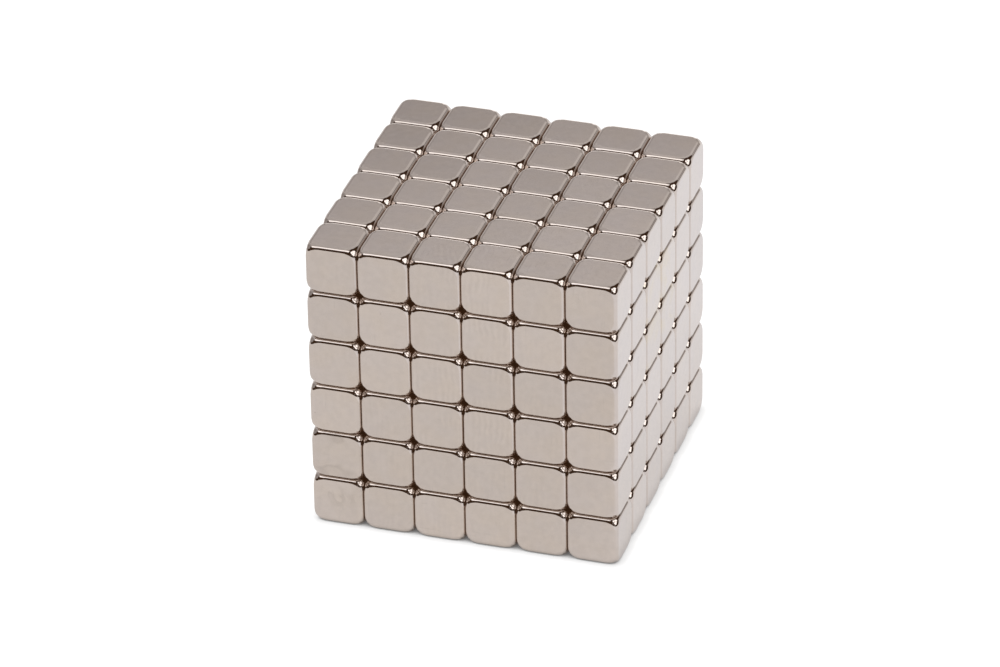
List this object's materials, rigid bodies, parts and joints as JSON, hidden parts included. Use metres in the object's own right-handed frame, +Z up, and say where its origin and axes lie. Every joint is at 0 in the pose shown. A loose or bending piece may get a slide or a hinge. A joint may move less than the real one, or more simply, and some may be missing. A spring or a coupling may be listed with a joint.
{
  "type": "magnetic desk sculpture",
  "caption": "Cube built from small nickel-plated cube magnets that cling together; rods and layers slide, the top layer twists, its pieces lift off.",
  "frame": {"origin": "centre of the cube's footprint, on the surface that it stands on", "axes": "+Z up; +X to the right, seen from the front; the front face is towards -Y, and the rods run along Y"},
  "size_m": [0.03, 0.03, 0.0301],
  "materials": {
    "nickel_plating": "Bright nickel plating over a ground magnet, slightly warm, with faint lapping waves and rounded edges"
  },
  "bodies": {
    "rod_l1_c1": {"rod_l1_c1": "nickel_plating"},
    "rod_l1_c2": {"rod_l1_c2": "nickel_plating"},
    "rod_l1_c3": {"rod_l1_c3": "nickel_plating"},
    "rod_l1_c4": {"rod_l1_c4": "nickel_plating"},
    "rod_l1_c5": {"rod_l1_c5": "nickel_plating"},
    "rod_l1_c6": {"rod_l1_c6": "nickel_plating"},
    "rod_l2_c1": {"rod_l2_c1": "nickel_plating"},
    "rod_l2_c2": {"rod_l2_c2": "nickel_plating"},
    "rod_l2_c3": {"rod_l2_c3": "nickel_plating"},
    "rod_l2_c4": {"rod_l2_c4": "nickel_plating"},
    "rod_l2_c5": {"rod_l2_c5": "nickel_plating"},
    "rod_l2_c6": {"rod_l2_c6": "nickel_plating"},
    "rod_l3_c1": {"rod_l3_c1": "nickel_plating"},
    "rod_l3_c2": {"rod_l3_c2": "nickel_plating"},
    "rod_l3_c3": {"rod_l3_c3": "nickel_plating"},
    "rod_l3_c4": {"rod_l3_c4": "nickel_plating"},
    "rod_l3_c5": {"rod_l3_c5": "nickel_plating"},
    "rod_l3_c6": {"rod_l3_c6": "nickel_plating"},
    "rod_l4_c1": {"rod_l4_c1": "nickel_plating"},
    "rod_l4_c2": {"rod_l4_c2": "nickel_plating"},
    "rod_l4_c3": {"rod_l4_c3": "nickel_plating"},
    "rod_l4_c4": {"rod_l4_c4": "nickel_plating"},
    "rod_l4_c5": {"rod_l4_c5": "nickel_plating"},
    "rod_l4_c6": {"rod_l4_c6": "nickel_plating"},
    "rod_l5_c1": {"rod_l5_c1": "nickel_plating"},
    "rod_l5_c2": {"rod_l5_c2": "nickel_plating"},
    "rod_l5_c3": {"rod_l5_c3": "nickel_plating"},
    "rod_l5_c4": {"rod_l5_c4": "nickel_plating"},
    "rod_l5_c5": {"rod_l5_c5": "nickel_plating"},
    "rod_l5_c6": {"rod_l5_c6": "nickel_plating"},
    "magnet_l6_r1_c1": {"magnet_l6_r1_c1": "nickel_plating"},
    "magnet_l6_r1_c2": {"magnet_l6_r1_c2": "nickel_plating"},
    "magnet_l6_r1_c3": {"magnet_l6_r1_c3": "nickel_plating"},
    "magnet_l6_r1_c4": {"magnet_l6_r1_c4": "nickel_plating"},
    "magnet_l6_r1_c5": {"magnet_l6_r1_c5": "nickel_plating"},
    "magnet_l6_r1_c6": {"magnet_l6_r1_c6": "nickel_plating"},
    "magnet_l6_r2_c1": {"magnet_l6_r2_c1": "nickel_plating"},
    "magnet_l6_r2_c6": {"magnet_l6_r2_c6": "nickel_plating"},
    "magnet_l6_r3_c1": {"magnet_l6_r3_c1": "nickel_plating"},
    "magnet_l6_r3_c6": {"magnet_l6_r3_c6": "nickel_plating"},
    "magnet_l6_r4_c1": {"magnet_l6_r4_c1": "nickel_plating"},
    "magnet_l6_r4_c6": {"magnet_l6_r4_c6": "nickel_plating"},
    "magnet_l6_r5_c1": {"magnet_l6_r5_c1": "nickel_plating"},
    "magnet_l6_r5_c6": {"magnet_l6_r5_c6": "nickel_plating"},
    "magnet_l6_r6_c1": {"magnet_l6_r6_c1": "nickel_plating"},
    "magnet_l6_r6_c2": {"magnet_l6_r6_c2": "nickel_plating"},
    "magnet_l6_r6_c3": {"magnet_l6_r6_c3": "nickel_plating"},
    "magnet_l6_r6_c4": {"magnet_l6_r6_c4": "nickel_plating"},
    "magnet_l6_r6_c5": {"magnet_l6_r6_c5": "nickel_plating"},
    "magnet_l6_r6_c6": {"magnet_l6_r6_c6": "nickel_plating"},
    "rod_l6_c2": {"rod_l6_c2": "nickel_plating"},
    "rod_l6_c3": {"rod_l6_c3": "nickel_plating"},
    "rod_l6_c4": {"rod_l6_c4": "nickel_plating"},
    "rod_l6_c5": {"rod_l6_c5": "nickel_plating"}
  },
  "joints": [
    {"name": "layer_2_shift", "type": "slide", "parent": "rod_l1_c3", "child": "rod_l2_c3", "axis": [1, 0, 0], "range_m": [-0.01004, 0.01004]},
    {"name": "layer_3_shift", "type": "slide", "parent": "rod_l2_c3", "child": "rod_l3_c3", "axis": [1, 0, 0], "range_m": [-0.01004, 0.01004]},
    {"name": "layer_4_shift", "type": "slide", "parent": "rod_l3_c3", "child": "rod_l4_c3", "axis": [1, 0, 0], "range_m": [-0.01004, 0.01004]},
    {"name": "layer_5_shift", "type": "slide", "parent": "rod_l4_c3", "child": "rod_l5_c3", "axis": [1, 0, 0], "range_m": [-0.01004, 0.01004]},
    {"name": "layer_6_twist", "type": "hinge", "parent": "rod_l5_c3", "child": "rod_l6_c3", "pos_m": [0, 0, 0.0276], "axis": [0, 0, 1], "range_deg": [-90, 90]},
    {"name": "rod_l1_c1_slide", "type": "slide", "parent": "rod_l1_c3", "child": "rod_l1_c1", "axis": [0, 1, 0], "range_m": [-0.0251, 0.0251]},
    {"name": "rod_l2_c1_slide", "type": "slide", "parent": "rod_l2_c3", "child": "rod_l2_c1", "axis": [0, 1, 0], "range_m": [-0.0251, 0.0251]},
    {"name": "rod_l3_c1_slide", "type": "slide", "parent": "rod_l3_c3", "child": "rod_l3_c1", "axis": [0, 1, 0], "range_m": [-0.0251, 0.0251]},
    {"name": "rod_l4_c1_slide", "type": "slide", "parent": "rod_l4_c3", "child": "rod_l4_c1", "axis": [0, 1, 0], "range_m": [-0.0251, 0.0251]},
    {"name": "rod_l5_c1_slide", "type": "slide", "parent": "rod_l5_c3", "child": "rod_l5_c1", "axis": [0, 1, 0], "range_m": [-0.0251, 0.0251]},
    {"name": "magnet_l6_r1_c1_lift", "type": "slide", "parent": "rod_l6_c3", "child": "magnet_l6_r1_c1", "axis": [0, 0, 1], "range_m": [0, 0.02]},
    {"name": "magnet_l6_r2_c1_lift", "type": "slide", "parent": "rod_l6_c3", "child": "magnet_l6_r2_c1", "axis": [0, 0, 1], "range_m": [0, 0.02]},
    {"name": "magnet_l6_r3_c1_lift", "type": "slide", "parent": "rod_l6_c3", "child": "magnet_l6_r3_c1", "axis": [0, 0, 1], "range_m": [0, 0.02]},
    {"name": "magnet_l6_r4_c1_lift", "type": "slide", "parent": "rod_l6_c3", "child": "magnet_l6_r4_c1", "axis": [0, 0, 1], "range_m": [0, 0.02]},
    {"name": "magnet_l6_r5_c1_lift", "type": "slide", "parent": "rod_l6_c3", "child": "magnet_l6_r5_c1", "axis": [0, 0, 1], "range_m": [0, 0.02]},
    {"name": "magnet_l6_r6_c1_lift", "type": "slide", "parent": "rod_l6_c3", "child": "magnet_l6_r6_c1", "axis": [0, 0, 1], "range_m": [0, 0.02]},
    {"name": "rod_l1_c2_slide", "type": "slide", "parent": "rod_l1_c3", "child": "rod_l1_c2", "axis": [0, 1, 0], "range_m": [-0.0251, 0.0251]},
    {"name": "rod_l2_c2_slide", "type": "slide", "parent": "rod_l2_c3", "child": "rod_l2_c2", "axis": [0, 1, 0], "range_m": [-0.0251, 0.0251]},
    {"name": "rod_l3_c2_slide", "type": "slide", "parent": "rod_l3_c3", "child": "rod_l3_c2", "axis": [0, 1, 0], "range_m": [-0.0251, 0.0251]},
    {"name": "rod_l4_c2_slide", "type": "slide", "parent": "rod_l4_c3", "child": "rod_l4_c2", "axis": [0, 1, 0], "range_m": [-0.0251, 0.0251]},
    {"name": "rod_l5_c2_slide", "type": "slide", "parent": "rod_l5_c3", "child": "rod_l5_c2", "axis": [0, 1, 0], "range_m": [-0.0251, 0.0251]},
    {"name": "magnet_l6_r1_c2_lift", "type": "slide", "parent": "rod_l6_c3", "child": "magnet_l6_r1_c2", "axis": [0, 0, 1], "range_m": [0, 0.02]},
    {"name": "magnet_l6_r6_c2_lift", "type": "slide", "parent": "rod_l6_c3", "child": "magnet_l6_r6_c2", "axis": [0, 0, 1], "range_m": [0, 0.02]},
    {"name": "rod_l6_c2_lift", "type": "slide", "parent": "rod_l6_c3", "child": "rod_l6_c2", "axis": [0, 0, 1], "range_m": [0, 0.02]},
    {"name": "magnet_l6_r1_c3_lift", "type": "slide", "parent": "rod_l6_c3", "child": "magnet_l6_r1_c3", "axis": [0, 0, 1], "range_m": [0, 0.02]},
    {"name": "magnet_l6_r6_c3_lift", "type": "slide", "parent": "rod_l6_c3", "child": "magnet_l6_r6_c3", "axis": [0, 0, 1], "range_m": [0, 0.02]},
    {"name": "rod_l1_c4_slide", "type": "slide", "parent": "rod_l1_c3", "child": "rod_l1_c4", "axis": [0, 1, 0], "range_m": [-0.0251, 0.0251]},
    {"name": "rod_l2_c4_slide", "type": "slide", "parent": "rod_l2_c3", "child": "rod_l2_c4", "axis": [0, 1, 0], "range_m": [-0.0251, 0.0251]},
    {"name": "rod_l3_c4_slide", "type": "slide", "parent": "rod_l3_c3", "child": "rod_l3_c4", "axis": [0, 1, 0], "range_m": [-0.0251, 0.0251]},
    {"name": "rod_l4_c4_slide", "type": "slide", "parent": "rod_l4_c3", "child": "rod_l4_c4", "axis": [0, 1, 0], "range_m": [-0.0251, 0.0251]},
    {"name": "rod_l5_c4_slide", "type": "slide", "parent": "rod_l5_c3", "child": "rod_l5_c4", "axis": [0, 1, 0], "range_m": [-0.0251, 0.0251]},
    {"name": "magnet_l6_r1_c4_lift", "type": "slide", "parent": "rod_l6_c3", "child": "magnet_l6_r1_c4", "axis": [0, 0, 1], "range_m": [0, 0.02]},
    {"name": "magnet_l6_r6_c4_lift", "type": "slide", "parent": "rod_l6_c3", "child": "magnet_l6_r6_c4", "axis": [0, 0, 1], "range_m": [0, 0.02]},
    {"name": "rod_l6_c4_lift", "type": "slide", "parent": "rod_l6_c3", "child": "rod_l6_c4", "axis": [0, 0, 1], "range_m": [0, 0.02]},
    {"name": "rod_l1_c5_slide", "type": "slide", "parent": "rod_l1_c3", "child": "rod_l1_c5", "axis": [0, 1, 0], "range_m": [-0.0251, 0.0251]},
    {"name": "rod_l2_c5_slide", "type": "slide", "parent": "rod_l2_c3", "child": "rod_l2_c5", "axis": [0, 1, 0], "range_m": [-0.0251, 0.0251]},
    {"name": "rod_l3_c5_slide", "type": "slide", "parent": "rod_l3_c3", "child": "rod_l3_c5", "axis": [0, 1, 0], "range_m": [-0.0251, 0.0251]},
    {"name": "rod_l4_c5_slide", "type": "slide", "parent": "rod_l4_c3", "child": "rod_l4_c5", "axis": [0, 1, 0], "range_m": [-0.0251, 0.0251]},
    {"name": "rod_l5_c5_slide", "type": "slide", "parent": "rod_l5_c3", "child": "rod_l5_c5", "axis": [0, 1, 0], "range_m": [-0.0251, 0.0251]},
    {"name": "magnet_l6_r1_c5_lift", "type": "slide", "parent": "rod_l6_c3", "child": "magnet_l6_r1_c5", "axis": [0, 0, 1], "range_m": [0, 0.02]},
    {"name": "magnet_l6_r6_c5_lift", "type": "slide", "parent": "rod_l6_c3", "child": "magnet_l6_r6_c5", "axis": [0, 0, 1], "range_m": [0, 0.02]},
    {"name": "rod_l6_c5_lift", "type": "slide", "parent": "rod_l6_c3", "child": "rod_l6_c5", "axis": [0, 0, 1], "range_m": [0, 0.02]},
    {"name": "rod_l1_c6_slide", "type": "slide", "parent": "rod_l1_c3", "child": "rod_l1_c6", "axis": [0, 1, 0], "range_m": [-0.0251, 0.0251]},
    {"name": "rod_l2_c6_slide", "type": "slide", "parent": "rod_l2_c3", "child": "rod_l2_c6", "axis": [0, 1, 0], "range_m": [-0.0251, 0.0251]},
    {"name": "rod_l3_c6_slide", "type": "slide", "parent": "rod_l3_c3", "child": "rod_l3_c6", "axis": [0, 1, 0], "range_m": [-0.0251, 0.0251]},
    {"name": "rod_l4_c6_slide", "type": "slide", "parent": "rod_l4_c3", "child": "rod_l4_c6", "axis": [0, 1, 0], "range_m": [-0.0251, 0.0251]},
    {"name": "rod_l5_c6_slide", "type": "slide", "parent": "rod_l5_c3", "child": "rod_l5_c6", "axis": [0, 1, 0], "range_m": [-0.0251, 0.0251]},
    {"name": "magnet_l6_r1_c6_lift", "type": "slide", "parent": "rod_l6_c3", "child": "magnet_l6_r1_c6", "axis": [0, 0, 1], "range_m": [0, 0.02]},
    {"name": "magnet_l6_r2_c6_lift", "type": "slide", "parent": "rod_l6_c3", "child": "magnet_l6_r2_c6", "axis": [0, 0, 1], "range_m": [0, 0.02]},
    {"name": "magnet_l6_r3_c6_lift", "type": "slide", "parent": "rod_l6_c3", "child": "magnet_l6_r3_c6", "axis": [0, 0, 1], "range_m": [0, 0.02]},
    {"name": "magnet_l6_r4_c6_lift", "type": "slide", "parent": "rod_l6_c3", "child": "magnet_l6_r4_c6", "axis": [0, 0, 1], "range_m": [0, 0.02]},
    {"name": "magnet_l6_r5_c6_lift", "type": "slide", "parent": "rod_l6_c3", "child": "magnet_l6_r5_c6", "axis": [0, 0, 1], "range_m": [0, 0.02]},
    {"name": "magnet_l6_r6_c6_lift", "type": "slide", "parent": "rod_l6_c3", "child": "magnet_l6_r6_c6", "axis": [0, 0, 1], "range_m": [0, 0.02]}
  ]
}
